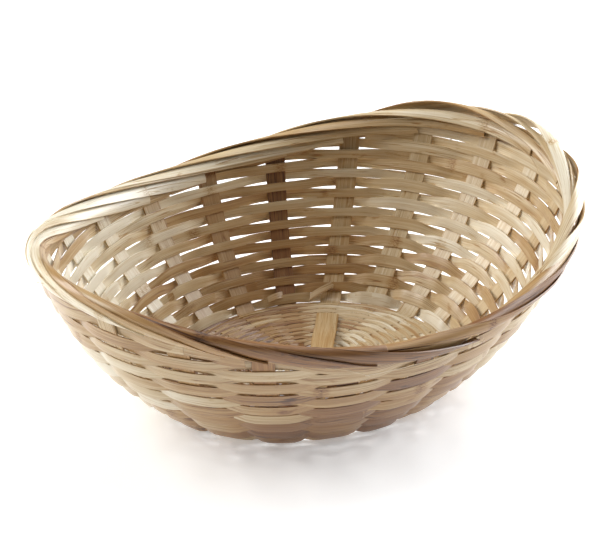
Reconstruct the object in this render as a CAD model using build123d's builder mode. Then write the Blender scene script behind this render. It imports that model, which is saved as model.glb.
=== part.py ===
from build123d import *
import os
from math import acos, atan2, cos, hypot, pi, radians, sin, tan

# Oval bread basket woven from flat bamboo splints. Millimetres, +Z up.
# The origin is the middle of the base, on the plane that the basket stands on.
# The long axis of the oval lies along X.

# ---- overall shape -------------------------------------------------------------
base_half_width = 53.0  # centre to the foot of the wall, along Y
oval = 1.22  # every level is this much longer in X than in Y
wall_foot_angle = 40.0  # slope of the wall where it leaves the base, degrees
wall_bow_radius = 140.0  # the wall curves up along an arc of this radius
rim_height = 62.0  # middle of the rim roll, averaged round the basket
rim_saddle = 10.0  # the rim is this much higher at the ends, lower at the sides

# ---- splints: the strips that cross the base and stand up as the stakes ----------
splint_count = 11
splint_thickness = 0.8
stake_width = 8.6  # on the wall
splint_waist = 1.8  # width where the splints cross in the middle of the base
hub_thickness = 0.35  # the splints are shaved thin where they cross
hub_clearance = 0.05  # between crossing splints in the middle
first_splint_angle = 44.0
splint_crowding = 3.0  # the splints are a little uneven: largest shift, degrees

# ---- wall weavers ----------------------------------------------------------------
weaver_thickness = 0.6
weaver_width = 3.9
row_gap = 0.28  # least gap between two rows
first_row_gap = 0.05  # height of the lowest row's lower edge above the splints' flat feet
weave_clearance = 0.15  # between a weaver and the corners of the stake that it passes
edge_pull = 0.8  # how nearly a weaver has reached its full offset at a stake's edge
least_end_room = 0.1  # the topmost short row is left out if the rim leaves it less height
end_row_inset = 3.0  # each short row stops this far before the point where the border row meets it

# ---- base weave ------------------------------------------------------------------
base_strand_width = 1.5
base_strand_thickness = 0.6
base_strand_gap = 0.2  # least gap between two strands
base_strand_clearance = 0.15
strand_turn_room = 0.01  # a strand stays level this far past a splint's edges, in stake spacings
hub_radius = 12.0  # the splints lie on each other inside this radius
weave_start_radius = 18.0
dome_height = 2.6  # how far the base rises towards the middle
foot_length = 2.0  # the flat stretch of each splint that the basket stands on
foot_slope_length = 1.5  # from the last strand down to that stretch

# ---- floor strip -----------------------------------------------------------------
floor_strip_width = 9.5
floor_strip_thickness = 0.8
floor_strip_half_length = 43.0
floor_strip_heading = 43.0  # direction of the strip, degrees from X
floor_strip_offset = 5.0  # the strip lies this far to the -Y side of the centre
layer_clearance = 0.1

# ---- rim: the stakes' ends, bent over and laid round the top edge ----------------
roll_half_thickness = 3.3
roll_half_height = 6.3
tail_thickness = 0.6
tail_cover = 0.75  # share of the spacing between tails that each tail fills
tail_span = 5.5  # stakes that each tail passes
tail_start_angle = 200.0  # on the inside of the roll, just below its middle
tail_end_angle = -20.0  # on the outside of the roll, just below its middle
tail_stations = 12
border_lift = 1.0  # middle of the upper border row above the middle of the roll
stake_rise = 3.5  # how far the stakes reach above the rim's middle
row_end_gap = 0.8  # gap between the butted ends of a border row

# ---- derived ---------------------------------------------------------------------
stake_count = 2 * splint_count
foot_level = splint_thickness / 2
foot_angle = radians(wall_foot_angle)
hub_step = hub_thickness + hub_clearance
closest_turn = radians(360 / stake_count - splint_crowding * 2 * pi / splint_count)
stake_share = stake_width / 2 / (closest_turn * base_half_width)  # half a stake, in stake spacings
stake_sag = (stake_width / 2) ** 2 * oval / (2 * base_half_width)  # a flat stake across the oval's end
wave = (splint_thickness + weaver_thickness) / 2 + stake_sag + weave_clearance
base_wave = (splint_thickness + base_strand_thickness) / 2 + base_strand_clearance
strand_drop = base_wave + base_strand_thickness / 2
weave_end_level = strand_drop + base_strand_clearance
weave_end_radius = base_half_width - foot_length - foot_slope_length
weave_room = weave_end_radius - weave_start_radius
base_strand_turns = int((weave_room / (base_strand_width + base_strand_gap) - 2) / 4)
base_strand_pitch = weave_room / (4 * base_strand_turns + 2)
strand_flat = stake_share + strand_turn_room  # a strand stays level this far each side of a splint
border_drop = border_lift - weaver_width - row_gap  # middle of the lower border row
points_per_stake = 6
taper_end = base_half_width + foot_length
wall_steps = 8  # stretches of the curve up each stake


def stake_angle(u):
    """Angle round the oval, in radians, of stake number u. It may be fractional."""
    turn = 360 / stake_count
    shift = splint_crowding * sin(2 * pi * u / splint_count)
    return radians(first_splint_angle + turn * u + shift)


def wall_point(angle, rise, out=0.0):
    """Point of the wall at a distance up the wall, moved out along its normal."""
    slope = foot_angle + rise / wall_bow_radius
    run = base_half_width + wall_bow_radius * (sin(slope) - sin(foot_angle))
    level = foot_level + wall_bow_radius * (cos(foot_angle) - cos(slope))
    across = hypot(cos(angle), oval * sin(angle))
    return Vector(
        oval * run * cos(angle) + out * sin(slope) * cos(angle) / across,
        run * sin(angle) + out * sin(slope) * oval * sin(angle) / across,
        level - out * cos(slope),
    )


def rise_at(level):
    """Distance up the wall at which it reaches a height."""
    slope = acos(cos(foot_angle) - (level - foot_level) / wall_bow_radius)
    return wall_bow_radius * (slope - foot_angle)


def rim_rise(angle):
    """Distance up the wall to the middle of the rim roll."""
    return rise_at(rim_height + rim_saddle * cos(2 * angle))


def weave_offset(u, phase):
    """How far a weaver stands off the wall's middle: flat at each stake."""
    pull = edge_pull * cos(pi * u) / cos(pi * stake_share)
    return phase * wave * sin(pi / 2 * max(-1, min(1, pull)))


def level_outline(rise, phase, shift):
    """Closed outline of a row edge, all at one height."""
    slope = foot_angle + rise / wall_bow_radius
    points = []
    for step in range(stake_count * points_per_stake):
        u = step / points_per_stake
        angle = stake_angle(u)
        out = (weave_offset(u, phase) + shift) / sin(slope)
        on_wall = wall_point(angle, rise)
        across = hypot(cos(angle), oval * sin(angle))
        x = on_wall.X + out * cos(angle) / across
        y = on_wall.Y + out * oval * sin(angle) / across
        points.append((x, y))
    return points


def weave_row(rise, phase):
    """One weaver that runs level round the basket, in front of and behind the stakes in turn."""
    half = weaver_thickness / 2
    low = rise - weaver_width / 2
    high = rise + weaver_width / 2
    with BuildPart() as row:
        for shift, mode in ((half, Mode.ADD), (-half, Mode.SUBTRACT)):
            for edge in (low, high):
                with BuildSketch(Plane.XY.offset(wall_point(0, edge).Z)):
                    with BuildLine():
                        Spline(*level_outline(edge, phase, shift), periodic=True)
                    make_face()
            loft(ruled=True, mode=mode)
    return row


def rim_frame(u, lift=0.0):
    """Middle of the rim roll at stake u, with its directions along, outwards and up."""
    angle = stake_angle(u)
    centre = wall_point(angle, rim_rise(angle) + lift)
    near = 0.02  # in stake spacings
    ahead = wall_point(stake_angle(u + near), rim_rise(stake_angle(u + near)) + lift)
    behind = wall_point(stake_angle(u - near), rim_rise(stake_angle(u - near)) + lift)
    along = (ahead - behind).normalized()
    outward = wall_point(angle, rim_rise(angle), 1.0) - wall_point(angle, rim_rise(angle))
    outward = (outward - along * outward.dot(along)).normalized()
    return centre, along, outward, outward.cross(along)


def border_row(lift, phase):
    """A weaver that follows the rise and fall of the rim, inside the roll."""
    stations = stake_count * 4
    gap = row_end_gap / wall_point(0, rim_rise(0)).X
    with BuildPart() as row:
        for step in range(stations + 1):
            u = gap + (stake_count - 2 * gap) * step / stations
            centre, along, outward, up = rim_frame(u, lift)
            middle = centre + outward * weave_offset(u, phase)
            with BuildSketch(Plane(origin=middle, x_dir=up, z_dir=along)):
                Rectangle(weaver_width, weaver_thickness)
        loft(ruled=True)
    return row


def rim_tail(start):
    """A stake's end: it climbs the inside of the roll, crosses the top and comes down outside."""
    with BuildPart() as tail:
        for step in range(tail_stations):
            share = step / (tail_stations - 1)
            centre, along, outward, up = rim_frame(start + tail_span * share)
            turn = radians(tail_start_angle + share * (tail_end_angle - tail_start_angle))
            middle = centre + outward * roll_half_thickness * cos(turn) + up * roll_half_height * sin(turn)
            across = up * roll_half_height * cos(turn) - outward * roll_half_thickness * sin(turn)
            spacing = radians(tail_start_angle - tail_end_angle) / tail_span * across.length
            with BuildSketch(Plane(origin=middle, x_dir=across, z_dir=along)):
                Rectangle(tail_cover * spacing, tail_thickness)
        loft(ruled=True)
    return tail


def base_level(radius):
    """Height of the splints' middle at a distance from the centre, measured along Y."""
    foot_start = base_half_width - foot_length
    if radius >= foot_start:
        return foot_level
    if radius >= weave_end_radius:
        share = (foot_start - radius) / (foot_start - weave_end_radius)
        return foot_level + share * (weave_end_level - foot_level)
    share = (weave_end_radius - radius) / (weave_end_radius - weave_start_radius)
    return weave_end_level + min(share, 1) * (dome_height - weave_end_level)


def splint_edge(layer, stretch, reach, side):
    """Upper (side 1) or lower (side -1) edge of half a splint: base points, then wall points."""
    half = splint_thickness / 2
    hub_half = hub_thickness / 2
    hub_level = dome_height + layer * hub_step
    base = [
        (0, hub_level + side * hub_half),
        (stretch * hub_radius, hub_level + side * hub_half),
        (stretch * weave_start_radius, base_level(weave_start_radius) + side * half),
        (stretch * weave_end_radius, base_level(weave_end_radius) + side * half),
        (stretch * (base_half_width - foot_length), foot_level + side * half),
    ]
    wall = []
    for step in range(wall_steps + 1):
        slope = foot_angle + reach * step / wall_steps / wall_bow_radius
        run = base_half_width + wall_bow_radius * (sin(slope) - sin(foot_angle))
        level = foot_level + wall_bow_radius * (cos(foot_angle) - cos(slope))
        lean = hypot(sin(slope), stretch * cos(slope))
        wall.append(
            (
                stretch * run - side * half * sin(slope) / lean,
                level + side * half * stretch * cos(slope) / lean,
            )
        )
    if side < 0:
        base.append((stretch * base_half_width, 0))
    return base, wall


def flipped(points):
    """The same points on the other side of the centre."""
    return [(-x, y) for x, y in points]


def splint(number):
    """A strip that crosses the base and stands up at both ends as a stake."""
    angle = stake_angle(number)
    stretch = hypot(oval * cos(angle), sin(angle))
    heading = Vector(oval * cos(angle), sin(angle), 0).normalized()
    tangent = Vector(-oval * sin(angle), cos(angle), 0)
    reach = rim_rise(angle) + stake_rise
    top_base, top_wall = splint_edge(number, stretch, reach, 1)
    low_base, low_wall = splint_edge(number, stretch, reach, -1)
    taper = stretch * taper_end
    waist = stretch * hub_radius
    wing = stretch * wall_point(0, reach).X
    with BuildPart() as strip:
        with BuildSketch(Plane(origin=(0, 0, 0), x_dir=heading, z_dir=heading.cross(Vector(0, 0, 1)))):
            with BuildLine():
                Polyline(*flipped(top_base[:0:-1]), *top_base)
                Polyline(*flipped(low_base[:0:-1]), *low_base)
                for side in (list, flipped):
                    Line(side(top_base)[-1], side(top_wall)[0])
                    Spline(*side(top_wall))
                    Line(side(top_wall)[-1], side(low_wall)[-1])
                    Spline(*side(low_wall))
                    Line(side(low_wall)[0], side(low_base)[-1])
            make_face()
        extrude(amount=stake_width, dir=tangent, both=True)
        with BuildSketch(Plane(origin=(0, 0, 0), x_dir=heading, z_dir=(0, 0, 1))):
            with BuildLine():
                Polyline(
                    (-wing, -stake_width / 2),
                    (-taper, -stake_width / 2),
                    (-waist, -splint_waist / 2),
                    (waist, -splint_waist / 2),
                    (taper, -stake_width / 2),
                    (wing, -stake_width / 2),
                    (wing, stake_width / 2),
                    (taper, stake_width / 2),
                    (waist, splint_waist / 2),
                    (-waist, splint_waist / 2),
                    (-taper, stake_width / 2),
                    (-wing, stake_width / 2),
                    close=True,
                )
            make_face()
        extrude(amount=2 * rim_height, mode=Mode.INTERSECT)
    return strip


def base_strand(start_radius, phase):
    """A thin strand that spirals outwards, over and under the splints in turn."""
    with BuildPart() as strand:
        for step in range(2 * stake_count * base_strand_turns):
            number = step // 2
            u = number + (strand_flat if step % 2 else -strand_flat)
            side = phase * (1 if number % 2 else -1)
            radius = start_radius + 2 * base_strand_pitch * u / stake_count
            angle = stake_angle(u)
            middle = Vector(
                oval * radius * cos(angle),
                radius * sin(angle),
                base_level(radius) + side * base_wave,
            )
            along = Vector(-oval * sin(angle), cos(angle), 0)
            with BuildSketch(Plane(origin=middle, x_dir=(0, 0, 1), z_dir=along)):
                Rectangle(base_strand_thickness, base_strand_width)
        loft(ruled=True)
    return strand


def save(piece, name):
    """Name a finished piece and write it to its own file."""
    piece.part.label = name
    export_step(piece.part, f"parts/{name}.step")


os.makedirs("parts", exist_ok=True)

for number in range(splint_count):
    save(splint(number), f"splint_{number + 1:02d}")

for number in range(4):
    start = weave_start_radius + base_strand_pitch * (number % 2 + 0.5)
    start += 2 * base_strand_pitch * base_strand_turns * (number // 2)
    save(base_strand(start, 1 if number % 2 else -1), f"base_strand_{number + 1}")

# The floor strip lies over the base weave and the hub.
strip_angle = radians(floor_strip_heading)
heading = Vector(cos(strip_angle), sin(strip_angle), 0)
sideways = Vector(sin(strip_angle), -cos(strip_angle), 0)
strip_turn = atan2(oval * sin(strip_angle), cos(strip_angle))
stretch = hypot(oval * cos(strip_turn), sin(strip_turn))
strip_lift = strand_drop + layer_clearance
hub_top = dome_height + (splint_count - 1) * hub_step + hub_thickness / 2 + layer_clearance
strip_line = [
    (floor_strip_half_length, base_level(floor_strip_half_length / stretch) + strip_lift),
    (stretch * weave_start_radius, base_level(weave_start_radius) + strip_lift),
    (stretch * hub_radius, max(hub_top, base_level(weave_start_radius) + strip_lift)),
]
strip_top = [(x, z + floor_strip_thickness) for x, z in strip_line]
with BuildPart() as floor_strip:
    with BuildSketch(Plane(origin=sideways * floor_strip_offset, x_dir=heading, z_dir=sideways)):
        with BuildLine():
            Polyline(
                *strip_line,
                *flipped(strip_line[::-1]),
                *flipped(strip_top),
                *strip_top[::-1],
                close=True,
            )
        make_face()
    extrude(amount=floor_strip_width / 2, both=True)
save(floor_strip, "floor_strip")

# Full rows fill the wall up to the lower border row where the rim is lowest.
# A row is level, so where it stands off a sloping wall it reaches a little further up.
first_row = rise_at(splint_thickness + first_row_gap) + weaver_width / 2
side_slope = foot_angle + rim_rise(pi / 2) / wall_bow_radius
row_lean = (wave + weaver_thickness / 2) / tan(side_slope)
top_row_drop = border_drop - weaver_width - row_gap - row_lean  # middle of the row below it
side_room = rim_rise(pi / 2) + top_row_drop - first_row
full_row_count = int(side_room / (weaver_width + row_gap)) + 1
row_pitch = side_room / (full_row_count - 1)
for number in range(full_row_count):
    row = weave_row(first_row + number * row_pitch, -1 if number % 2 else 1)
    save(row, f"wall_weaver_{number + 1:02d}")

# Short rows go on above them at the two ends, each as far round as the rim leaves room for it.
end_room = rim_rise(0) + top_row_drop - first_row - side_room - least_end_room
end_row_count = int(end_room / row_pitch)
for number in range(end_row_count):
    rise = first_row + (full_row_count + number) * row_pitch
    rim_level = wall_point(0, rise - top_row_drop).Z
    reach_angle = acos((rim_level - rim_height) / rim_saddle) / 2
    cut = wall_point(reach_angle - end_row_inset / wall_point(0, rise).X, rise).X
    with BuildPart() as pair:
        add(weave_row(rise, -1 if (full_row_count + number) % 2 else 1).part)
        Box(2 * cut, 4 * base_half_width, 4 * rim_height, mode=Mode.SUBTRACT)
    save(pair, f"end_weavers_{number + 1}")

save(border_row(border_drop, 1), "border_weaver_lower")
save(border_row(border_lift, -1), "border_weaver_upper")

for number in range(stake_count):
    save(rim_tail(number), f"rim_tail_{number + 1:02d}")
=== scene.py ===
import random
from math import acos, cos, hypot, pi, radians, sin, tan

import bmesh
import bpy
from mathutils import Euler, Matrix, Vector, noise


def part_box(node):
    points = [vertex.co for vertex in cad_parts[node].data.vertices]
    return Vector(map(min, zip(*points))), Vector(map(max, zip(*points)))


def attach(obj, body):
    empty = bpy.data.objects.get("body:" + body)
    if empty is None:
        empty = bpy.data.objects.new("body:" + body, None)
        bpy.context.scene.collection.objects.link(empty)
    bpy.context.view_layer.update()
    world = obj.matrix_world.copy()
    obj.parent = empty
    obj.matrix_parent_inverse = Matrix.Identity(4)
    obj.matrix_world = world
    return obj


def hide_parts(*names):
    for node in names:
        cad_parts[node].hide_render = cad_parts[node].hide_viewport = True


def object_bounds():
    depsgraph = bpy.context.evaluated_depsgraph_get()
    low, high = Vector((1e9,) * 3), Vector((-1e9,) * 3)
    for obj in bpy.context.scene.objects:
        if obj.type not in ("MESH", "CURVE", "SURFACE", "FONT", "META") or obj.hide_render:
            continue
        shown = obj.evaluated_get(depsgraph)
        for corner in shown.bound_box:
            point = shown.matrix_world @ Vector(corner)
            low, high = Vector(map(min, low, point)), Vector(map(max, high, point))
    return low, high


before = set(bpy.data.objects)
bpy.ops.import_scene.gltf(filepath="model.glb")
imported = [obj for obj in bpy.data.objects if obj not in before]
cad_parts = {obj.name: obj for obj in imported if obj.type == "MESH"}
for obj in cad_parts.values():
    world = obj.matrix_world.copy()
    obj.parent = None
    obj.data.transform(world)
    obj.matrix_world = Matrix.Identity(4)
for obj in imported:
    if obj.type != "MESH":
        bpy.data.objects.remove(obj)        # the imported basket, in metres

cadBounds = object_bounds()
nodes = sorted(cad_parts)
print("frame loaded:", len(nodes), "nodes")

# camera
cameraSettings = {
    "target": (0.01676, 0.0221, 0.030),
    "azimuth": -42.5,
    "elevation": 26.87,
    "roll": 1.21,
    "distance": 1.1925,
    "lens": 169.15,
    "sensor": 36,
    "clip": (0.05, 20),
}


def makeCamera(settings):
    azimuth = radians(settings["azimuth"])
    elevation = radians(settings["elevation"])
    away = Vector((sin(azimuth) * cos(elevation), -cos(azimuth) * cos(elevation), sin(elevation)))
    data = bpy.data.cameras.new("mainCamera")
    data.lens = settings["lens"]
    data.sensor_width = settings["sensor"]
    data.clip_start, data.clip_end = settings["clip"]
    camera = bpy.data.objects.new("mainCamera", data)
    bpy.context.collection.objects.link(camera)
    camera.location = Vector(settings["target"]) + away * settings["distance"]
    turn = Euler((pi / 2 - elevation, 0, azimuth)).to_matrix()
    tilt = Euler((0, 0, radians(settings["roll"]))).to_matrix()  # about the camera's own axis
    camera.rotation_euler = (turn @ tilt).to_euler()
    bpy.context.scene.camera = camera
    return camera


makeCamera(cameraSettings)

# shape of the basket, in metres
shape = {
    "oval": 1.22,            # every level is this much longer in X than in Y
    "baseHalfWidth": 0.053,
    "footAngle": radians(40),
    "bowRadius": 0.140,
    "footLevel": 0.0004,
    "rimHeight": 0.062,
    "rimSaddle": 0.010,
    "crossings": 11,
    "firstAngle": 44.0,
    "crowding": 3.0,
    "stakeWidth": 0.0086,
    "stakeThickness": 0.0008,
}
stakeCount = 2 * shape["crossings"]


def stakeAngle(u):
    shift = shape["crowding"] * sin(2 * pi * u / shape["crossings"])
    return radians(shape["firstAngle"] + 360 / stakeCount * u + shift)


def wallRun(rise):
    slope = shape["footAngle"] + rise / shape["bowRadius"]
    return shape["baseHalfWidth"] + shape["bowRadius"] * (sin(slope) - sin(shape["footAngle"]))


def wallPoint(angle, rise, out=0.0):
    slope = shape["footAngle"] + rise / shape["bowRadius"]
    run = wallRun(rise)
    level = shape["footLevel"] + shape["bowRadius"] * (cos(shape["footAngle"]) - cos(slope))
    across = hypot(cos(angle), shape["oval"] * sin(angle))
    return Vector((
        shape["oval"] * run * cos(angle) + out * sin(slope) * cos(angle) / across,
        run * sin(angle) + out * sin(slope) * shape["oval"] * sin(angle) / across,
        level - out * cos(slope),
    ))


def riseAt(level):
    slope = acos(cos(shape["footAngle"]) - (level - shape["footLevel"]) / shape["bowRadius"])
    return shape["bowRadius"] * (slope - shape["footAngle"])


def rimRise(angle):
    return riseAt(shape["rimHeight"] + shape["rimSaddle"] * cos(2 * angle))


def smooth(low, high, x):
    t = max(0.0, min(1.0, (x - low) / (high - low)))
    return t * t * (3 - 2 * t)


def wander(x, seed, scale=1.0):
    # a slow random wave along a strip, mostly from -1 to 1, and another one for each seed
    return noise.noise(Vector((x * scale, seed * 7.31, seed * 1.77))) * 1.6


# bamboo
bambooLooks = {
    "ramp": [
        (0.00, (0.085, 0.032, 0.009)),
        (0.25, (0.240, 0.102, 0.027)),
        (0.50, (0.415, 0.240, 0.088)),
        (0.75, (0.610, 0.472, 0.275)),
        (1.00, (0.800, 0.725, 0.570)),
    ],
    # scale along the strip, across it and in depth, and the noise's detail
    "fibre": ((0.5, 34.0, 1.0), 3.0),        # fine fibres along the strip
    "streak": ((0.16, 7.0, 1.0), 3.0),       # broader streaks
    "patch": ((0.22, 0.5, 1.0), 2.0),        # slow change of tone along the strip
    "stain": ((0.9, 2.4, 1.0), 4.0),         # brown stains here and there
    "speck": ((9.0, 26.0, 1.0), 2.0),        # dark dots at the growth joints
    "crack": ((0.13, 6.0, 1.0), 1.0),
    "noiseRoughness": 0.6,
    "crackHalfWidth": (0.004, 0.022),        # full, then faded out, in the crack noise
    "crackedPatches": (0.42, 0.62),          # splits show only where the patch noise is above this
    "jointEvery": 0.037,                     # growth joints along the strip, for each centimetre
    "jointWidth": (0.012, 0.028),
    "jointDots": (0.44, 0.60),
    "jointLeast": 0.25,                      # a joint darkens this much even between its dots
    "stained": (0.60, 0.78),
    "edgeFrom": 0.86,
    # how much each one changes the tone
    "fibreTone": 0.54,
    "patchTone": 0.38,
    "stainTone": 0.30,
    "jointTone": 0.34,
    "crackTone": 0.30,
    "edgeTone": 0.10,
    "roughness": (0.24, 0.34, 0.2),          # least, more along the streaks, more at the joints
    "height": (0.7, 0.6, 0.9, 0.5),          # fibres, streaks, cracks, joints
    "reliefDepth": 0.00012,
    "coatRoughness": 0.28,
}


def newSocket(group, name, direction, kind, value=None):
    socket = group.interface.new_socket(name=name, in_out=direction, socket_type=kind)
    if value is not None:
        socket.default_value = value
    return socket


def makeBambooGroup(looks):
    group = bpy.data.node_groups.new("bambooGrain", "ShaderNodeTree")
    newSocket(group, "Map", "INPUT", "NodeSocketVector")
    newSocket(group, "Tone", "INPUT", "NodeSocketFloat", 0.5)
    newSocket(group, "Edge", "INPUT", "NodeSocketFloat", 0.0)
    newSocket(group, "Streaks", "INPUT", "NodeSocketFloat", 0.3)
    newSocket(group, "Color", "OUTPUT", "NodeSocketColor")
    newSocket(group, "Roughness", "OUTPUT", "NodeSocketFloat")
    newSocket(group, "Height", "OUTPUT", "NodeSocketFloat")
    add = group.nodes.new
    link = group.links.new
    source = add("NodeGroupInput")
    result = add("NodeGroupOutput")

    def noiseAlong(kind):
        scale, detail = looks[kind]
        mapping = add("ShaderNodeMapping")
        mapping.inputs["Scale"].default_value = scale
        link(source.outputs["Map"], mapping.inputs["Vector"])
        texture = add("ShaderNodeTexNoise")
        texture.inputs["Scale"].default_value = 1.0
        texture.inputs["Detail"].default_value = detail
        texture.inputs["Roughness"].default_value = looks["noiseRoughness"]
        link(mapping.outputs["Vector"], texture.inputs["Vector"])
        return texture.outputs["Fac"]

    def math(operation, *values):
        node = add("ShaderNodeMath")
        node.operation = operation
        for index, value in enumerate(values):
            if isinstance(value, (int, float)):
                node.inputs[index].default_value = value
            else:
                link(value, node.inputs[index])
        return node.outputs[0]

    def span(value, low, high, toLow=0.0, toHigh=1.0):
        node = add("ShaderNodeMapRange")
        node.interpolation_type = "SMOOTHSTEP"
        for name, number in (("From Min", low), ("From Max", high), ("To Min", toLow), ("To Max", toHigh)):
            node.inputs[name].default_value = number
        link(value, node.inputs["Value"])
        return node.outputs["Result"]

    fibre, streak, patch = noiseAlong("fibre"), noiseAlong("streak"), noiseAlong("patch")
    stain, speck, crack = noiseAlong("stain"), noiseAlong("speck"), noiseAlong("crack")
    crack = span(math("ABSOLUTE", math("SUBTRACT", crack, 0.5)), *looks["crackHalfWidth"], 1.0, 0.0)
    crack = math("MULTIPLY", crack, span(patch, *looks["crackedPatches"]))

    split = add("ShaderNodeSeparateXYZ")
    link(source.outputs["Map"], split.inputs["Vector"])
    turn = math("FRACT", math("MULTIPLY", split.outputs["X"], looks["jointEvery"]))
    rising, falling = looks["jointWidth"]
    joint = math("MULTIPLY", span(turn, 0.0, rising), span(turn, rising, falling, 1.0, 0.0))
    dots = math("MULTIPLY", joint, span(speck, *looks["jointDots"], looks["jointLeast"], 1.0))

    tone = source.outputs["Tone"]
    for field, amount in ((streak, source.outputs["Streaks"]), (fibre, looks["fibreTone"]),
                          (patch, looks["patchTone"])):
        tone = math("ADD", tone, math("MULTIPLY", math("SUBTRACT", field, 0.5), amount))
    edge = span(source.outputs["Edge"], looks["edgeFrom"], 1.0)
    for mask, amount in ((span(stain, *looks["stained"]), looks["stainTone"]), (dots, looks["jointTone"]),
                         (crack, looks["crackTone"]), (edge, looks["edgeTone"])):
        tone = math("SUBTRACT", tone, math("MULTIPLY", mask, amount))

    ramp = add("ShaderNodeValToRGB")
    elements = ramp.color_ramp.elements
    elements[0].position, color = looks["ramp"][0]
    elements[0].color = (*color, 1)
    elements[1].position, color = looks["ramp"][-1]
    elements[1].color = (*color, 1)
    for position, color in looks["ramp"][1:-1]:
        elements.new(position).color = (*color, 1)
    link(tone, ramp.inputs["Fac"])
    link(ramp.outputs["Color"], result.inputs["Color"])
    least, streaky, jointed = looks["roughness"]
    rough = math("ADD", math("MULTIPLY", streak, streaky), least)
    link(math("ADD", rough, math("MULTIPLY", dots, jointed)), result.inputs["Roughness"])
    fibreHeight, streakHeight, crackDepth, jointDepth = looks["height"]
    height = math("ADD", math("MULTIPLY", fibre, fibreHeight), math("MULTIPLY", streak, streakHeight))
    height = math("SUBTRACT", height, math("MULTIPLY", crack, crackDepth))
    link(math("SUBTRACT", height, math("MULTIPLY", dots, jointDepth)), result.inputs["Height"])
    return group


bambooGroup = makeBambooGroup(bambooLooks)


def makeBamboo(name, looks, streaks, bump, coat, specular):
    material = bpy.data.materials.new(name)
    material.use_nodes = True
    tree = material.node_tree
    shader = tree.nodes["Principled BSDF"]
    grain = tree.nodes.new("ShaderNodeGroup")
    grain.node_tree = bambooGroup
    grain.inputs["Streaks"].default_value = streaks
    uv = tree.nodes.new("ShaderNodeUVMap")
    uv.uv_map = "stripMap"
    tree.links.new(uv.outputs["UV"], grain.inputs["Map"])
    for attribute, socket in (("tone", "Tone"), ("edge", "Edge")):
        node = tree.nodes.new("ShaderNodeAttribute")
        node.attribute_name = attribute
        tree.links.new(node.outputs["Fac"], grain.inputs[socket])
    relief = tree.nodes.new("ShaderNodeBump")
    relief.inputs["Strength"].default_value = bump
    relief.inputs["Distance"].default_value = looks["reliefDepth"]
    tree.links.new(grain.outputs["Height"], relief.inputs["Height"])
    tree.links.new(grain.outputs["Color"], shader.inputs["Base Color"])
    tree.links.new(grain.outputs["Roughness"], shader.inputs["Roughness"])
    tree.links.new(relief.outputs["Normal"], shader.inputs["Normal"])
    shader.inputs["Coat Weight"].default_value = coat
    shader.inputs["Coat Roughness"].default_value = looks["coatRoughness"]
    shader.inputs["Specular IOR Level"].default_value = specular
    return material


weaverBamboo = makeBamboo("weaverBamboo", bambooLooks, streaks=0.46, bump=0.9, coat=0.80, specular=0.6)
stakeBamboo = makeBamboo("stakeBamboo", bambooLooks, streaks=0.44, bump=0.9, coat=0.40, specular=0.5)
rimBamboo = makeBamboo("rimBamboo", bambooLooks, streaks=0.44, bump=0.8, coat=0.45, specular=0.5)
baseBamboo = makeBamboo("baseBamboo", bambooLooks, streaks=0.44, bump=0.8, coat=0.12, specular=0.5)
print("bamboo ready")

# strips
stripSettings = {
    "mapPerMetre": 100,      # the grain is mapped in centimetres
    "segments": 2,
    "sharpest": 50,          # degrees between faces past which an edge is rounded
    "bevel": 0.00012,
}


def startStrips():
    bm = bmesh.new()
    bm.loops.layers.uv.new("stripMap")
    bm.verts.layers.float.new("tone")
    bm.verts.layers.float.new("edge")
    return bm


def addStrip(bm, place, length, width, steps, rows, tone, seed):
    # place(share, side) gives the middle surface: share 0..1 along, side -1..1 across
    uvLayer = bm.loops.layers.uv["stripMap"]
    toneLayer = bm.verts.layers.float["tone"]
    edgeLayer = bm.verts.layers.float["edge"]
    made = bmesh.ops.create_grid(bm, x_segments=steps, y_segments=rows, size=0.5)
    faces = {face for vert in made["verts"] for face in vert.link_faces}
    spot = {vert: (vert.co.x + 0.5, vert.co.y * 2) for vert in made["verts"]}
    scale = stripSettings["mapPerMetre"]
    shiftAlong, shiftAcross = (seed * 3.713) % 61, (seed * 1.931) % 17    # each strip has its own grain
    for face in faces:
        for loop in face.loops:
            share, side = spot[loop.vert]
            loop[uvLayer].uv = (share * length * scale + shiftAlong, side * width / 2 * scale + shiftAcross)
    for vert, (share, side) in spot.items():
        vert[toneLayer] = tone(share) if callable(tone) else tone
        vert[edgeLayer] = abs(side)
        vert.co = place(share, side)


def finishStrips(bm, name, thickness, material, stands, bevel=stripSettings["bevel"]):
    bmesh.ops.recalc_face_normals(bm, faces=bm.faces)
    for face in bm.faces:
        face.smooth = True
    mesh = bpy.data.meshes.new(name)
    bm.to_mesh(mesh)
    bm.free()
    mesh.materials.append(material)
    piece = bpy.data.objects.new(name, mesh)
    bpy.context.collection.objects.link(piece)
    shell = piece.modifiers.new("thickness", "SOLIDIFY")
    shell.thickness = thickness
    shell.offset = 0
    rounding = piece.modifiers.new("edges", "BEVEL")
    rounding.width = bevel
    rounding.segments = stripSettings["segments"]
    rounding.limit_method = "ANGLE"
    rounding.angle_limit = radians(stripSettings["sharpest"])
    rounding.harden_normals = True
    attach(piece, "root")
    if stands:
        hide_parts(*stands)
    return piece


# painted light and shade of the strips round the basket: paler where the side lamps fall, darker on the side
# facing the camera
paintedLightSettings = {
    "ends": 0.10,            # painted light: paler at the two ends of the oval
    "right": 0.05,           # and painted light towards +X
    "palest": (140, 0.31),   # painted light: direction in degrees, and amount
    # painted shade on the side facing the camera: direction in degrees, and amount
    "darkestToward": (228, 0.18),
}


def paintedLightTone(u):
    # how much paler than the rest a strip is where it passes stake u, from painted light and shade
    angle = stakeAngle(u)
    palest, paler = paintedLightSettings["palest"]
    darkestToward, darkenBy = paintedLightSettings["darkestToward"]
    tone = paintedLightSettings["ends"] * cos(2 * angle) + paintedLightSettings["right"] * cos(angle)
    tone += paler * max(0.0, cos(angle - radians(palest))) ** 2
    return tone - darkenBy * max(0.0, cos(angle - radians(darkestToward))) ** 2


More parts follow.
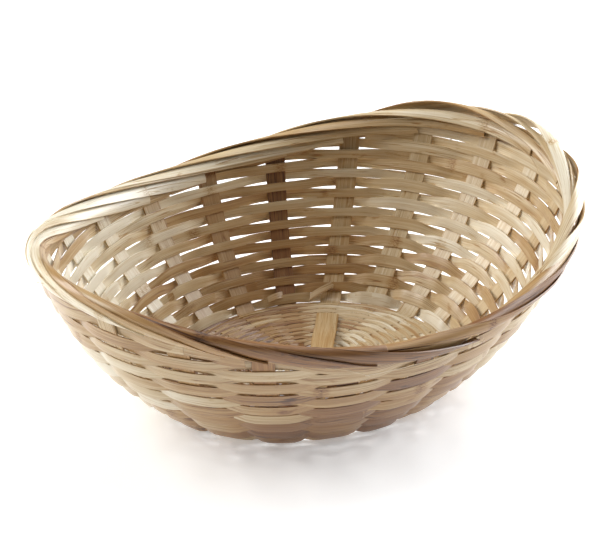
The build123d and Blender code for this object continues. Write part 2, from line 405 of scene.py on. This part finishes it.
# wall weavers
weaverSettings = {
    "thickness": 0.00055,
    "width": (0.0036, 0.0040),
    "upright": 0.55,         # a strip bent into a ring stands steeper than the wall
    "level": 0.5,            # how nearly a row stays level as it goes in and out
    "swell": 0.13,           # a strip fills more of the row between the stakes
    "closedSwell": 0.30,     # where the wall is closed up, the passes over and under the stakes are wider
    "closedDrop": 1.15,      # and the outer ones sit lower
    # direction in degrees where it is closed up, and the cosines away from it where that starts and is full
    "closed": ((0, 0.72, 0.88), (135, 0.55, 0.85)),
    "side": (228, 0.10, 0.60),   # along this side the outer passes are wider, so that they close up
    "sideSwell": 0.30,
    "clearance": 0.00006,
    "cup": 0.00018,          # the middle of a strip stands this much prouder than its edges
    "edgePull": 0.8,         # how far the swing has come at a stake's edge
    "rowWander": 0.00030,    # rows are not quite level
    "widthWander": 0.08,
    "bendWander": 0.10,
    "surfaceWander": 0.00008,
    "toneWander": 0.12,
    "levelFrom": 0.030,      # the two corrections of level grow from nothing at the foot to full here
    "lowest": 0.6,           # of its thickness, the least height of a row's middle over the table
    "firstEnd": 0.35,        # a row starts this far past a stake
    "stakePace": 0.030,      # from stake to stake along a short row
    "searchSteps": 20,       # places tried per stake spacing for a short row's ends
    "stepsPerStake": 8,
    "rows": 4,
    "overlap": 1.3,          # stakes that the two ends of a row share
    "endTuck": 0.0035,       # a short row ends under the rim roll, this far below its middle
    "tone": (0.48, 0.82),
}


def nearAngle(u, middle, low, high):
    # 1 near one direction from the middle of the basket, fading to 0 away from it
    return smooth(low, high, cos(stakeAngle(u) - radians(middle)))


def weaveSwing(u, rise, phase):
    # 1 outside a stake, -1 inside it, for a phase of 1
    closest = radians(360 / stakeCount - shape["crowding"] * 2 * pi / shape["crossings"])
    share = shape["stakeWidth"] / 2 / (closest * wallRun(rise))
    pull = weaverSettings["edgePull"] * cos(pi * u) / cos(pi * share)
    return phase * sin(pi / 2 * max(-1, min(1, pull)))


def rowPlace(riseOf, phase, width, first, count, seed, settings):
    touching = (shape["stakeThickness"] + settings["thickness"]) / 2 + settings["clearance"]

    def place(share, side):
        u = first + count * share
        rise = riseOf(u) + settings["rowWander"] * wander(u, seed, 0.45)
        slope = shape["footAngle"] + rise / shape["bowRadius"]
        tilt = settings["upright"] * (pi / 2 - slope)
        swing = weaveSwing(u, rise, phase)
        half = width / 2 * (1 + settings["widthWander"] * wander(u, seed + 0.5, 0.7))
        out = swing * (touching + half * sin(tilt))
        out *= 1 + settings["bendWander"] * wander(u, seed + 0.9, 1.1)
        closed = sum(nearAngle(u, *window) for window in settings["closed"])
        level = settings["level"] - settings["closedDrop"] * closed
        rise += level * out / tan(slope) * smooth(0.0, settings["levelFrom"], rise)
        half *= 1 + settings["swell"] * (1 - abs(swing)) + settings["closedSwell"] * closed * abs(swing)
        half *= 1 + settings["sideSwell"] * nearAngle(u, *settings["side"]) * max(0.0, swing)
        out += settings["cup"] * (1 - side * side) * (1 if swing > 0 else -1)
        out += settings["surfaceWander"] * wander(u, seed + 0.3, 2.0) - side * half * sin(tilt)
        spot = wallPoint(stakeAngle(u), rise + side * half * cos(tilt), out)
        spot.z = max(spot.z, settings["thickness"] * settings["lowest"])
        return spot
    return place


def makeWallWeavers(settings):
    dice = random.Random(5)
    fullRows = [name for name in nodes if name.startswith("wall_weaver")]
    for index, name in enumerate(fullRows):
        low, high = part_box(name)
        rise = (riseAt(low[2]) + riseAt(high[2])) / 2
        width = dice.uniform(*settings["width"])
        tone = dice.uniform(*settings["tone"])
        first = dice.randrange(stakeCount) + settings["firstEnd"]
        count = stakeCount + settings["overlap"]
        phase = -1 if index % 2 else 1
        place = rowPlace(lambda u, r=rise: r, phase, width, first, count, index + 1.0, settings)
        length = 2 * pi * wallRun(rise) * (1 + shape["oval"]) / 2

        def toneAt(share, tone=tone, seed=index + 0.2, first=first, count=count):
            # own tone and wander, plus painted light and shade round the basket
            return tone + settings["toneWander"] * wander(share * 9, seed) + paintedLightTone(first + count * share)

        bm = startStrips()
        addStrip(bm, place, length, width, int(count * settings["stepsPerStake"]), settings["rows"],
                 toneAt, seed=index * 5.7 + 1)
        finishStrips(bm, name.replace("wall_weaver", "wallWeaver"), settings["thickness"],
                     weaverBamboo, [name])
    print("wall weavers:", len(fullRows))


def makeEndWeavers(settings):
    dice = random.Random(11)
    pairs = [name for name in nodes if name.startswith("end_weavers")]
    fullCount = len([name for name in nodes if name.startswith("wall_weaver")])
    for index, name in enumerate(pairs):
        low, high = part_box(name)
        rise = (riseAt(low[2]) + riseAt(high[2])) / 2
        phase = -1 if (fullCount + index) % 2 else 1
        bm = startStrips()
        for end in (0, pi):
            width = dice.uniform(*settings["width"])
            tone = dice.uniform(*settings["tone"])
            fine = settings["searchSteps"]
            spots = [u / fine for u in range(-fine * stakeCount, 2 * fine * stakeCount)]
            near = [u for u in spots if abs(stakeAngle(u) - end - 2 * pi) < pi / 2]
            inside = [u for u in near if rimRise(stakeAngle(u)) > rise + settings["endTuck"]]
            first, last = inside[0], inside[-1]
            place = rowPlace(lambda u, r=rise: r, phase, width, first, last - first, index + end, settings)
            length = (last - first) * settings["stakePace"]
            steps = max(6, int((last - first) * settings["stepsPerStake"]))
            addStrip(bm, place, length, width, steps, settings["rows"], tone, seed=index * 3.3 + end + 40)
        finishStrips(bm, f"endWeavers{index + 1}", settings["thickness"],
                     weaverBamboo, [name])
    print("end weavers:", len(pairs))


borderSettings = {
    "width": 0.0038,
    "length": 0.70,
    "tone": 0.55,
    "firstEnd": 0.3,
    "stagger": 9,            # stakes between the ends of the two rings
    # node, height above the middle of the rim roll, and 1 or -1 for over or under the first stake
    "rings": (("border_weaver_lower", -0.0036, 1), ("border_weaver_upper", 0.0010, -1)),
}


def makeBorderWeavers(settings, weaver):
    for index, (name, lift, phase) in enumerate(settings["rings"]):
        place = rowPlace(lambda u, l=lift: rimRise(stakeAngle(u)) + l, phase, settings["width"],
                         settings["firstEnd"] + settings["stagger"] * index,
                         stakeCount + weaver["overlap"], 71 + index, weaver)
        bm = startStrips()
        addStrip(bm, place, settings["length"], settings["width"], (stakeCount + 1) * weaver["stepsPerStake"],
                 weaver["rows"], settings["tone"], seed=90 + index)
        label = "borderWeaver" + name.split("_")[-1].capitalize()
        finishStrips(bm, label, weaver["thickness"], weaverBamboo, [name])
    print("border weavers:", len(settings["rings"]))


makeWallWeavers(weaverSettings)
makeEndWeavers(weaverSettings)
makeBorderWeavers(borderSettings, weaverSettings)

# splints
splintSettings = {
    "thickness": 0.0008,
    "width": 0.0086,
    "waist": 0.0018,
    "hubRadius": 0.0075,
    "weaveStart": 0.0120,
    "hubThinning": 0.45,     # the splints are shaved where they cross
    "weaveEnd": 0.0495,
    "footStart": 0.051,
    "dome": 0.0026,
    "weaveEndLevel": 0.0013,
    "hubStep": 0.0004,
    "rise": 0.0035,          # above the middle of the rim roll
    "steps": 96,
    "rows": 4,
    "widthWander": 0.05,
    "fullWidthFrom": 1.05,   # of the base's half width
    "thinned": (0.008, 0.050),
    # how much of the painted light and shade round the basket the splints take
    "sun": 1.2,
    "tones": (0.58, 0.27, 0.52, 0.58, 0.66, 0.68, 0.62, 0.60, 0.64, 0.56, 0.62),  # one splint is dark
}


def baseLevel(radius, hubLevel, settings):
    if radius < settings["weaveStart"]:
        share = smooth(settings["hubRadius"], settings["weaveStart"], radius)
        return hubLevel + share * (settings["dome"] - hubLevel)
    if radius < settings["weaveEnd"]:
        share = (settings["weaveEnd"] - radius) / (settings["weaveEnd"] - settings["weaveStart"])
        return settings["weaveEndLevel"] + share * (settings["dome"] - settings["weaveEndLevel"])
    share = smooth(settings["weaveEnd"], settings["footStart"], radius)
    return settings["weaveEndLevel"] + share * (shape["footLevel"] - settings["weaveEndLevel"])


def makeSplints(settings):
    for layer in range(shape["crossings"]):
        angle = stakeAngle(layer)
        tangent = Vector((-shape["oval"] * sin(angle), cos(angle), 0)).normalized()
        reach = rimRise(angle) + settings["rise"]
        total = shape["baseHalfWidth"] + reach
        hubLevel = settings["dome"] + layer * settings["hubStep"]

        def place(share, side, angle=angle, tangent=tangent, total=total, hubLevel=hubLevel, seed=layer):
            walk = (2 * share - 1) * total
            end = angle if walk >= 0 else angle + pi
            distance = abs(walk)
            if distance < shape["baseHalfWidth"]:
                middle = Vector((shape["oval"] * distance * cos(end), distance * sin(end),
                                 baseLevel(distance, hubLevel, settings)))
            else:
                middle = wallPoint(end, distance - shape["baseHalfWidth"])
            grow = smooth(settings["hubRadius"], shape["baseHalfWidth"] * settings["fullWidthFrom"], distance)
            width = settings["waist"] + grow * (settings["width"] - settings["waist"])
            width *= 1 + settings["widthWander"] * wander(walk * 30, seed + 0.4)
            return middle + tangent * side * width / 2

        def toneAt(share, layer=layer):
            stake = layer if share > 0.5 else layer + shape["crossings"]
            # own tone plus painted light and shade round the basket
            return settings["tones"][layer] + settings["sun"] * paintedLightTone(stake)

        bm = startStrips()
        addStrip(bm, place, 2 * total, settings["width"], settings["steps"], settings["rows"],
                 toneAt, seed=layer * 4.1)
        piece = finishStrips(bm, f"splint{layer + 1:02d}", settings["thickness"], stakeBamboo,
                             [f"splint_{layer + 1:02d}"])
        thick = piece.vertex_groups.new(name="thick")
        for vert in piece.data.vertices:
            reach = hypot(vert.co.x / shape["oval"], vert.co.y)
            thinning = (1 - settings["hubThinning"]) * (1 - smooth(*settings["thinned"], reach))
            thick.add([vert.index], 1 - thinning, "REPLACE")
        piece.modifiers["thickness"].vertex_group = "thick"
    print("splints:", shape["crossings"])


makeSplints(splintSettings)

# base weave and floor strip
baseSettings = {
    "pitch": 0.00175,
    "strand": 0.00096,       # each strand is a pair of thin fibres side by side
    "thickness": 0.00055,
    "turns": 4,
    "start": 0.018,
    "firstTurns": 1.5,       # the inner strands start this much further in
    "lastTurns": 1.5,        # the outer strands go on up the foot of the wall
    "wave": 0.00050,
    "tilt": 0.60,            # strands are beaten up on edge, so they lie like shingles
    "stepsPerStake": 6,
    "rows": 2,
    "strands": 4,
    "bevel": 0.00010,
    "pathWander": 0.00020,
    "widthWander": 0.15,
    "liftWander": 0.00012,
    "fibreTone": 0.05,       # the two fibres of a strand differ by twice this
    "toneWander": 0.20,
    "paintedLightSide": 0.31,        # painted light and shade: palest towards +X, darker towards -X where the wall shades the floor
    "paintedLightTurn": 0.3,
    "tones": (0.53, 0.39, 0.59, 0.46),
}


def floorPoint(angle, distance, lift, splints):
    # a point over the splints, from the middle of the base on up the foot of the wall
    if distance > shape["baseHalfWidth"]:
        spot = wallPoint(angle, distance - shape["baseHalfWidth"], -lift)
    else:
        level = baseLevel(distance, splints["dome"], splints) + lift
        spot = Vector((shape["oval"] * distance * cos(angle), distance * sin(angle), level))
    spot.z = max(spot.z, shape["footLevel"])       # no strand hangs below the splints' feet
    return spot


def makeBaseStrands(settings, splints):
    for number in range(settings["strands"]):
        start = settings["start"] + settings["pitch"] * (number % 2 + 0.5)
        start += 2 * settings["pitch"] * settings["turns"] * (number // 2)
        early = 0 if number > 1 else int(stakeCount * settings["firstTurns"])
        phase = 1 if number % 2 else -1
        count = int(stakeCount * (settings["turns"] + (settings["lastTurns"] if number > 1 else 0))) + early
        bm = startStrips()
        for fibre in (-1, 1):

            def place(share, side, fibre=fibre):
                u = count * share - early
                distance = start + 2 * settings["pitch"] * u / stakeCount + fibre * settings["pitch"] / 4
                distance += settings["pathWander"] * wander(u, number * 2 + fibre * 0.3 + 20, 0.5)
                spread = settings["widthWander"] * wander(u, number + fibre * 0.2 + 20.5, 0.8)
                half = settings["strand"] / 2 * (1 + spread)
                lift = -phase * settings["wave"] * cos(pi * u) + side * half * settings["tilt"]
                lift += settings["liftWander"] * wander(u, number + fibre * 0.4 + 30, 1.3)
                return floorPoint(stakeAngle(u), distance + side * half, lift, splints)

            def toneAt(share, fibre=fibre):
                # painted light and shade across the floor: paler towards +X, darker towards -X
                pale = settings["paintedLightSide"] * cos(stakeAngle(count * share - early) + settings["paintedLightTurn"])
                tone = settings["tones"][number] + settings["fibreTone"] * fibre
                return tone + settings["toneWander"] * wander(share * 40, number + 60.2) + pale

            middleTurn = start + settings["pitch"] * settings["turns"]
            length = 2 * pi * middleTurn * count / stakeCount
            addStrip(bm, place, length, settings["strand"], count * settings["stepsPerStake"],
                     settings["rows"], toneAt, seed=number * 7.7 + 3 + fibre)
        finishStrips(bm, f"baseStrand{number + 1}", settings["thickness"], baseBamboo,
                     [f"base_strand_{number + 1}"], bevel=settings["bevel"])
    print("base strands:", settings["strands"])


makeBaseStrands(baseSettings, splintSettings)

floorStripSettings = {
    "width": 0.0095,
    "thickness": 0.0008,
    "halfLength": 0.043,
    "heading": 43.0,
    "offset": 0.005,         # to the -Y side of the centre
    "drop": (0.010, 0.036),  # from its middle, where it starts to come down and where it is down
    "crown": 0.0002,
    "bow": 0.0005,
    "clearance": 0.0001,
    "steps": 40,
    "rows": 4,
    "tone": 0.62,
}


def makeFloorStrip(settings):
    low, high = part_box("floor_strip")
    angle = radians(settings["heading"])
    heading = Vector((cos(angle), sin(angle), 0))
    sideways = Vector((sin(angle), -cos(angle), 0))

    def place(share, side):
        walk = (2 * share - 1) * settings["halfLength"]
        raised = 1 - smooth(*settings["drop"], abs(walk))
        level = low[2] + (high[2] - low[2] - settings["thickness"]) * raised
        level += settings["thickness"] / 2 + settings["clearance"] - settings["crown"] * side * side
        across = settings["offset"] + side * settings["width"] / 2 + settings["bow"] * sin(share * pi)
        return heading * walk + sideways * across + Vector((0, 0, level))

    bm = startStrips()
    addStrip(bm, place, 2 * settings["halfLength"], settings["width"], settings["steps"], settings["rows"],
             settings["tone"], seed=33)
    finishStrips(bm, "floorStrip", settings["thickness"], baseBamboo, ["floor_strip"])
    print("floor strip: 1")


makeFloorStrip(floorStripSettings)

# rim: the stakes' ends, laid round the edge
rimSettings = {
    "halfThickness": 0.0027,
    "halfHeight": 0.0047,
    "width": 0.0056,
    "thickness": 0.0007,
    "lift": 0.00115,         # a tail's upper edge lies on its neighbour, its lower edge under the other
    "span": 5.5,             # stakes that a tail passes
    "startTurn": 212.0,
    "endTurn": -22.0,
    "steps": 56,
    "rows": 6,
    "tone": (0.42, 0.80),
    "startSpread": 0.15,     # how far each value may differ from tail to tail
    "spanSpread": 0.4,
    "widthSpread": (0.88, 1.05),
    "startTurnSpread": 5,
    "endTurnSpread": 6,
    "liftSpread": (0.85, 1.15),
    "pathWander": 0.0006,
    "outWander": 0.0003,
    "toneWander": 0.08,
    "narrowing": (0.15, 0.45),   # at a tail's start and at its tip
    "tuck": 0.0012,          # how far the tip goes in
    "stray": 0.0004,         # how far an ordinary tail stands off at its middle
    "pace": 0.031,           # from stake to stake along the rim
    "frontBrownAndShade": (208, 0.25),   # direction in which the bands are browner, partly their own browner bamboo and partly painted shade, and how much
    "backPaintedLight": 0.22,        # painted light: they are paler along the +Y side, where the roll's inner face lies in shade
    # by tail, how far it stands off instead
    "strays": {13: 0.0016, 14: 0.0026, 15: -0.0004, 16: 0.0036, 17: 0.0010, 18: 0.0026, 10: 0.0012},
    "strayWidth": 0.52,      # bands that stand away are narrower
    "short": {9: 0.62},      # one band ends early, cut square
}


def rimFrame(u):
    # the roll's centre at stake u, and its directions along the rim, outwards and up
    def middle(v):
        return wallPoint(stakeAngle(v), rimRise(stakeAngle(v)))

    centre = middle(u)
    along = (middle(u + 0.02) - middle(u - 0.02)).normalized()
    angle = stakeAngle(u)
    outward = wallPoint(angle, rimRise(angle), 0.001) - centre
    outward = (outward - along * outward.dot(along)).normalized()
    return centre, along, outward, outward.cross(along)


def makeRimTails(settings):
    dice = random.Random(23)

    def either(most):
        return dice.uniform(-most, most)

    # arc length round the roll's section, degree by degree, so that a tail keeps its width as it turns
    lowest, highest = -100, 320
    table = [0.0]
    turns = [radians(degree) for degree in range(lowest, highest + 1)]
    for a, b in zip(turns, turns[1:]):
        table.append(table[-1] + hypot(settings["halfThickness"] * (cos(b) - cos(a)),
                                       settings["halfHeight"] * (sin(b) - sin(a))))

    def arcAt(turn):
        index = max(0, min(len(table) - 2, int(turn - lowest)))
        return table[index] + (turn - lowest - index) * (table[index + 1] - table[index])

    def turnAt(arc):
        low, high = 0, len(table) - 1
        while high - low > 1:
            half = (low + high) // 2
            if table[half] > arc:
                high = half
            else:
                low = half
        return lowest + low + (arc - table[low]) / (table[high] - table[low])

    startNarrowing, tipNarrowing = settings["narrowing"]
    darkestToward, darkenBy = settings["frontBrownAndShade"]
    for number in range(stakeCount):
        first = number + either(settings["startSpread"])
        span = settings["span"] + either(settings["spanSpread"])
        width = settings["width"] * dice.uniform(*settings["widthSpread"])
        startTurn = settings["startTurn"] + either(settings["startTurnSpread"])
        endTurn = settings["endTurn"] + either(settings["endTurnSpread"])
        lift = settings["lift"] * dice.uniform(*settings["liftSpread"])
        middleAngle = stakeAngle(first + span / 2)
        # random tone plus painted light and shade round the basket
        tone = dice.uniform(*settings["tone"]) + paintedLightTone(first + span / 2)
        # painted light along the +Y side, where the roll's inner face lies in shade
        tone += settings["backPaintedLight"] * max(0, sin(middleAngle)) ** 2
        # browner towards the front: partly the bamboo's own colour, partly painted shade
        tone -= darkenBy * max(0, cos(middleAngle - radians(darkestToward))) ** 2
        seed = number + 5.0
        stray = settings["strays"].get(number, settings["stray"])
        width *= settings["strayWidth"] if number in settings["strays"] else 1
        stop = settings["short"].get(number, 1.0)

        def place(share, side, first=first, span=span, width=width, startTurn=startTurn, endTurn=endTurn,
                  lift=lift, seed=seed, stray=stray, stop=stop):
            share *= stop
            centre, along, outward, up = rimFrame(first + span * share)
            line = arcAt(startTurn) + share * (arcAt(endTurn) - arcAt(startTurn))
            line += settings["pathWander"] * wander(share * 3, seed)
            narrow = 1 - tipNarrowing * smooth(0.90, 1.0, share) - startNarrowing * smooth(0.12, 0.0, share)
            turn = turnAt(line + side * width / 2 * narrow)
            out = lift * side + settings["outWander"] * wander(share * 4, seed + 0.6)
            out -= settings["tuck"] * smooth(0.88, 1.0, share)
            out += stray * sin(pi * share) ** 4
            wide = settings["halfThickness"] + out
            tall = settings["halfHeight"] + out
            return centre + outward * wide * cos(radians(turn)) + up * tall * sin(radians(turn))

        def toneAt(share, tone=tone, seed=seed + 0.1):
            return tone + settings["toneWander"] * wander(share * 4, seed)

        bm = startStrips()
        addStrip(bm, place, span * settings["pace"], width, settings["steps"], settings["rows"],
                 toneAt, seed=number * 2.9 + 8)
        finishStrips(bm, f"rimTail{number + 1:02d}", settings["thickness"], rimBamboo,
                     [f"rim_tail_{number + 1:02d}"])
    print("rim tails:", stakeCount)


makeRimTails(rimSettings)

# loose fibres and strip ends
looseSettings = {
    "fibreWidth": 0.00030,
    "fibreThickness": 0.00014,
    "fibres": 26,
    "fibreLength": (0.5, 1.3),   # in stake spacings
    "standAway": (0.0008, 0.0030),
    "insideShare": 0.6,
    "lift": (-0.0050, 0.0046),
    "drop": (-0.0050, 0.0030),
    "rollHalfHeight": 0.0062,    # of the rim roll with the tails on it
    "onTheRoll": 0.0007,
    "fibreSteps": 14,
    "fibreTone": (0.6, 0.95),
    "fibreBevel": 0.00003,
    # strip ends inside the foot of the wall: start stake, end stake, rise at each, width
    "ends": ((0.48, -0.02, 0.0010, 0.0065, 0.0034), (1.45, 1.10, 0.0022, 0.0034, 0.0030)),
    "endThickness": 0.0005,
    "endLength": 0.016,
    "endSteps": 10,
    "endRows": 3,
    "endAway": (0.0021, 0.0009),     # inside the wall's middle, and how much further half way along
    "endRise": 0.001,
    "endTone": (0.62, 0.07),         # of the first, and how much darker the next one is
}


def makeLooseFibres(settings):
    dice = random.Random(41)
    bm = startStrips()
    for number in range(settings["fibres"]):
        first = dice.uniform(0, stakeCount)
        count = dice.uniform(*settings["fibreLength"]) * dice.choice((-1, 1))
        inside = dice.random() < settings["insideShare"]
        away = dice.uniform(*settings["standAway"])
        lift = dice.uniform(*settings["lift"])
        drop = dice.uniform(*settings["drop"])

        def place(share, side, first=first, count=count, inside=inside, away=away, lift=lift, drop=drop):
            centre, along, outward, up = rimFrame(first + count * share)
            turn = -1 if inside else 1
            bulge = (1 - (lift / settings["rollHalfHeight"]) ** 2) ** 0.5
            wide = rimSettings["halfThickness"] * bulge + away * share ** 2 + settings["onTheRoll"]
            spot = centre + outward * turn * wide + up * (lift + drop * share ** 2)
            return spot + up * side * settings["fibreWidth"] / 2

        addStrip(bm, place, abs(count) * weaverSettings["stakePace"], settings["fibreWidth"],
                 settings["fibreSteps"], 1, dice.uniform(*settings["fibreTone"]), seed=number + 200)
    finishStrips(bm, "looseFibres", settings["fibreThickness"], weaverBamboo, [],
                 bevel=settings["fibreBevel"])
    bm = startStrips()
    for number, (first, last, low, high, width) in enumerate(settings["ends"]):

        def place(share, side, first=first, last=last, low=low, high=high, width=width):
            near, further = settings["endAway"]
            rise = low + (high - low) * share + side * width / 2 + settings["endRise"]
            angle = stakeAngle(first + (last - first) * share)
            return wallPoint(angle, rise, -near - further * sin(pi * share))

        tone, darker = settings["endTone"]
        addStrip(bm, place, settings["endLength"], width, settings["endSteps"], settings["endRows"],
                 tone - darker * number, seed=number + 230)
    finishStrips(bm, "looseStripEnds", settings["endThickness"], weaverBamboo, [])
    print("loose fibres:", settings["fibres"], "strip ends:", len(settings["ends"]))


makeLooseFibres(looseSettings)

# floor and light
stageSettings = {
    "floorSize": 8.0,
    "floorColor": (0.90, 0.90, 0.90),
    "floorGlow": 0.30,       # the floor is a lit table
    "world": 0.10,
    "floorRoughness": 0.9,
    "floorDrop": 0.0002,     # the floor lies this much under the basket
    "lamps": [
        # name, place, size, power, colour
        ("leftLamp", (-0.95, 1.18, 1.00), 1.5, 38, (1.0, 0.99, 0.97)),
        ("rightLamp", (1.35, -0.15, 0.60), 1.5, 44, (0.94, 0.97, 1.0)),
        ("topLamp", (0.3, 0.4, 2.0), 1.2, 9, (1.0, 1.0, 1.0)),
    ],
}


def makeStage(settings):
    bm = bmesh.new()
    bmesh.ops.create_grid(bm, x_segments=1, y_segments=1, size=settings["floorSize"] / 2)
    bmesh.ops.translate(bm, verts=bm.verts, vec=(0, 0, min(cadBounds[0][2], 0.0) - settings["floorDrop"]))
    mesh = bpy.data.meshes.new("paleFloor")
    bm.to_mesh(mesh)
    bm.free()
    floor = bpy.data.objects.new("paleFloor", mesh)
    bpy.context.collection.objects.link(floor)
    paint = bpy.data.materials.new("paleFloor")
    paint.use_nodes = True
    shader = paint.node_tree.nodes["Principled BSDF"]
    shader.inputs["Base Color"].default_value = (*settings["floorColor"], 1)
    shader.inputs["Roughness"].default_value = settings["floorRoughness"]
    shader.inputs["Emission Color"].default_value = (1, 1, 1, 1)
    shader.inputs["Emission Strength"].default_value = settings["floorGlow"]
    mesh.materials.append(paint)
    for name, spot, size, power, color in settings["lamps"]:
        data = bpy.data.lights.new(name, "AREA")
        data.shape = "DISK"
        data.size = size
        data.energy = power
        data.color = color
        lamp = bpy.data.objects.new(name, data)
        lamp.location = spot
        lamp.rotation_euler = Vector(spot).to_track_quat("Z", "Y").to_euler()
        bpy.context.collection.objects.link(lamp)
    world = bpy.data.worlds.new("studio")
    world.use_nodes = True
    world.node_tree.nodes["Background"].inputs["Color"].default_value = (1, 1, 1, 1)
    world.node_tree.nodes["Background"].inputs["Strength"].default_value = settings["world"]
    bpy.context.scene.world = world
    bpy.context.scene.view_settings.view_transform = "Standard"
    print("floor and light ready")


makeStage(stageSettings)
